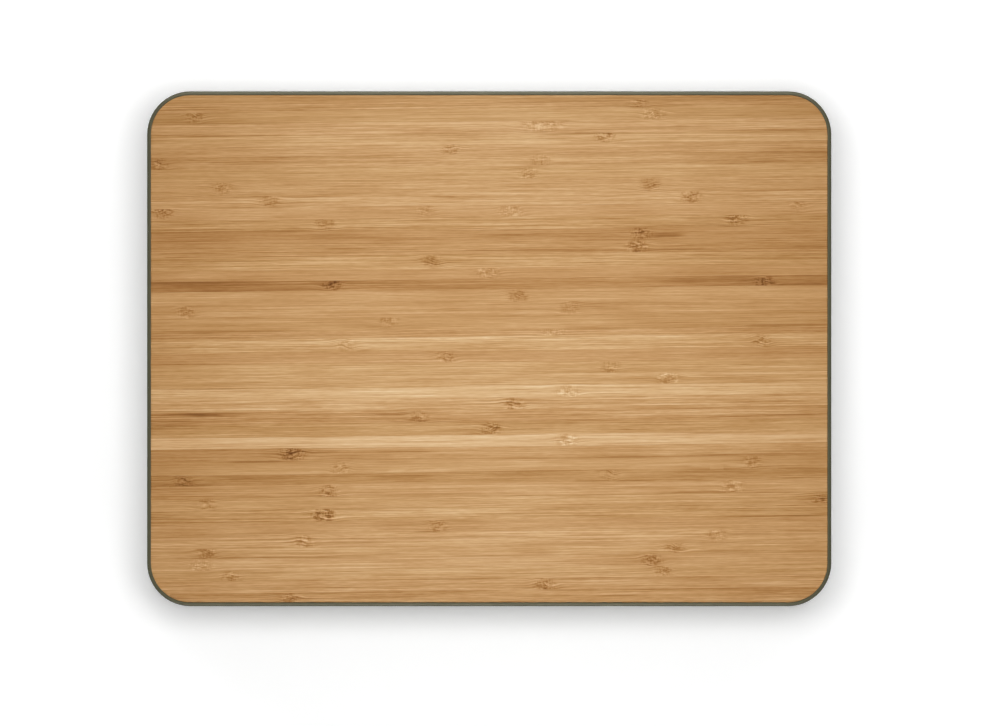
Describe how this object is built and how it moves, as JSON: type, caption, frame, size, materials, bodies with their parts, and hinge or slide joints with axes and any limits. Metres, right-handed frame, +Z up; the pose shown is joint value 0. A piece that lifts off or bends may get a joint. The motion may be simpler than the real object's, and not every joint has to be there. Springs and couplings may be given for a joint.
{
  "type": "cutting board with drawer trays",
  "caption": "Bamboo cutting board in a moulded rim on a low drawer base, with sliding trays that open at both ends for scraps and prepared food.",
  "frame": {"origin": "on the worktop under the middle of the body", "axes": "+X along the long side, to the right of someone at the board, +Y to the rear, +Z up"},
  "size_m": [0.38, 0.286, 0.062],
  "materials": {
    "bamboo": "side-pressed bamboo, sanded and oiled",
    "olive_plastic": "olive moulded plastic, fine satin texture",
    "runner_plastic": "natural slippery plastic, satin",
    "silicone": "soft matt silicone",
    "screw_steel": "zinc-plated steel"
  },
  "bodies": {
    "base": {"bamboo_board": "bamboo", "rim_frame": "olive_plastic", "board_seal": "silicone", "front_side_rail": "olive_plastic", "rear_side_rail": "olive_plastic", "base_plate": "olive_plastic", "centre_wall": "olive_plastic", "tray_divider": "olive_plastic", "tray_bumpers": "silicone", "assembly_screws": "screw_steel", "board_screws": "screw_steel", "centre_wall_screws": "screw_steel", "foot_front_left": "silicone", "foot_front_right": "silicone", "foot_rear_left": "silicone", "foot_rear_right": "silicone", "scrap_tray_runners": "runner_plastic", "prep_tray_front_runners": "runner_plastic", "prep_tray_rear_runners": "runner_plastic"},
    "scrap_drawer": {"scrap_tray": "olive_plastic", "scrap_tray_stop_clip": "runner_plastic"},
    "prep_drawer_front": {"prep_tray_front": "olive_plastic", "prep_tray_front_stop_clip": "runner_plastic"},
    "prep_drawer_rear": {"prep_tray_rear": "olive_plastic", "prep_tray_rear_stop_clip": "runner_plastic"}
  },
  "joints": [
    {"name": "scrap_drawer_slide", "type": "slide", "parent": "base", "child": "scrap_drawer", "axis": [-1, 0, 0], "range_m": [0, 0.108]},
    {"name": "prep_drawer_front_slide", "type": "slide", "parent": "base", "child": "prep_drawer_front", "axis": [1, 0, 0], "range_m": [0, 0.108]},
    {"name": "prep_drawer_rear_slide", "type": "slide", "parent": "base", "child": "prep_drawer_rear", "axis": [1, 0, 0], "range_m": [0, 0.108]}
  ]
}
